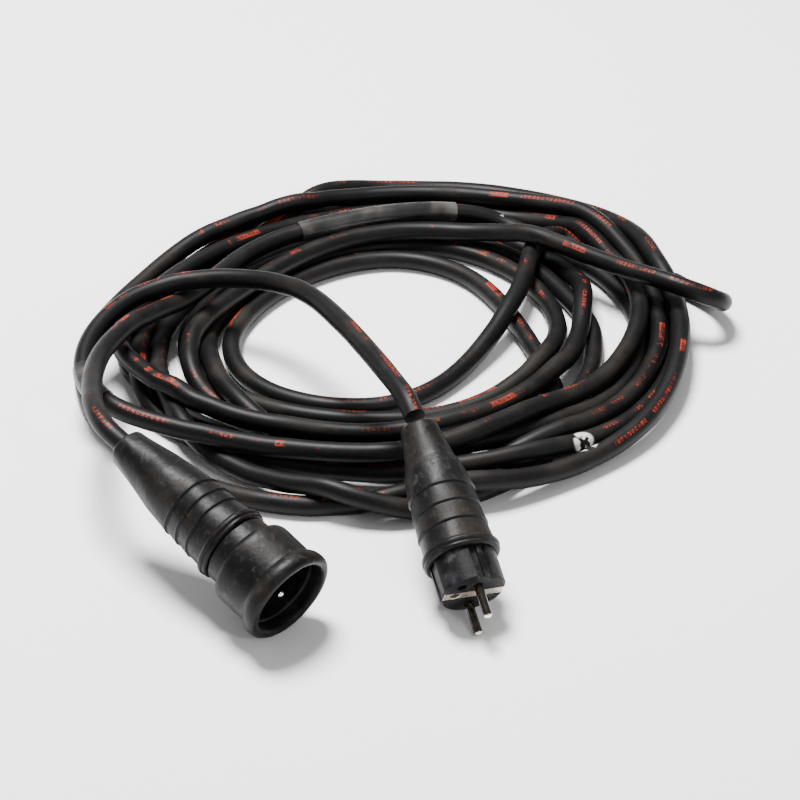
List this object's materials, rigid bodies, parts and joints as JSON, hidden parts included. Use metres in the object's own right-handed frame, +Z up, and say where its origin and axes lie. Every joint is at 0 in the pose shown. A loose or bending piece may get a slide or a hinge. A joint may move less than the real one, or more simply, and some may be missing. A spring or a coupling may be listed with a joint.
{
  "type": "extension cord",
  "caption": "Coiled black rubber extension cord with a round-pin plug, ribbed tapered boots, and a shrouded socket connector with an earth pin and safety shutter.",
  "frame": {"origin": "centre of the whole outline, on the surface that the coil lies on", "axes": "+Z up, -Y towards the plug and the connector, which lie in front of the coil, +X towards the bight at the coil's right"},
  "size_m": [0.3934, 0.4882, 0.0745],
  "materials": {
    "moulded_rubber": "matt, dusty",
    "cable_jacket": "satin, worn",
    "hard_plastic": "satin, scuffed",
    "brass": "dull",
    "nickel": "worn plating",
    "steel": "dull",
    "clear_film": "clear, cloudy",
    "live_core": "satin",
    "neutral_core": "satin",
    "earth_core": "satin"
  },
  "bodies": {
    "cord_set": {"plug_boot": "moulded_rubber", "plug_insert": "hard_plastic", "pin_live": "nickel", "pin_neutral": "nickel", "plug_earth_terminal": "brass", "earth_strap": "brass", "earth_socket": "nickel", "plug_insert_screw_1": "steel", "plug_insert_screw_2": "steel", "plug_live_terminal_screw": "steel", "plug_neutral_terminal_screw": "steel", "plug_earth_terminal_screw": "steel", "plug_live_core": "live_core", "plug_neutral_core": "neutral_core", "plug_earth_core": "earth_core", "plug_rear_cover": "hard_plastic", "plug_clamp_bar": "hard_plastic", "plug_clamp_saddle": "hard_plastic", "plug_clamp_screw_1": "steel", "plug_clamp_screw_2": "steel", "plug_cable_tail": "cable_jacket", "connector_boot": "moulded_rubber", "connector_shroud": "moulded_rubber", "connector_insert": "hard_plastic", "contact_live": "brass", "contact_neutral": "brass", "connector_earth_pin": "nickel", "shutter_spring": "steel", "connector_insert_screw_1": "steel", "connector_insert_screw_2": "steel", "connector_live_terminal_screw": "steel", "connector_neutral_terminal_screw": "steel", "connector_earth_terminal_screw": "steel", "connector_live_core": "live_core", "connector_neutral_core": "neutral_core", "connector_earth_core": "earth_core", "connector_rear_cover": "hard_plastic", "connector_clamp_bar": "hard_plastic", "connector_clamp_saddle": "hard_plastic", "connector_clamp_screw_1": "steel", "connector_clamp_screw_2": "steel", "connector_cable_tail": "cable_jacket", "cord_coil": "cable_jacket", "cord_plug_lead": "cable_jacket", "cord_connector_lead": "cable_jacket", "cord_bight": "cable_jacket", "long_sleeve": "clear_film", "short_sleeve": "clear_film"},
    "shutter": {"safety_shutter": "hard_plastic"}
  },
  "joints": [
    {"name": "shutter_slide", "type": "slide", "parent": "cord_set", "child": "shutter", "axis": [-0.1241, -0.4794, 0.8688], "range_m": [0, 0.0066], "stiffness_N_per_m": 60, "springref_m": -0.003}
  ]
}
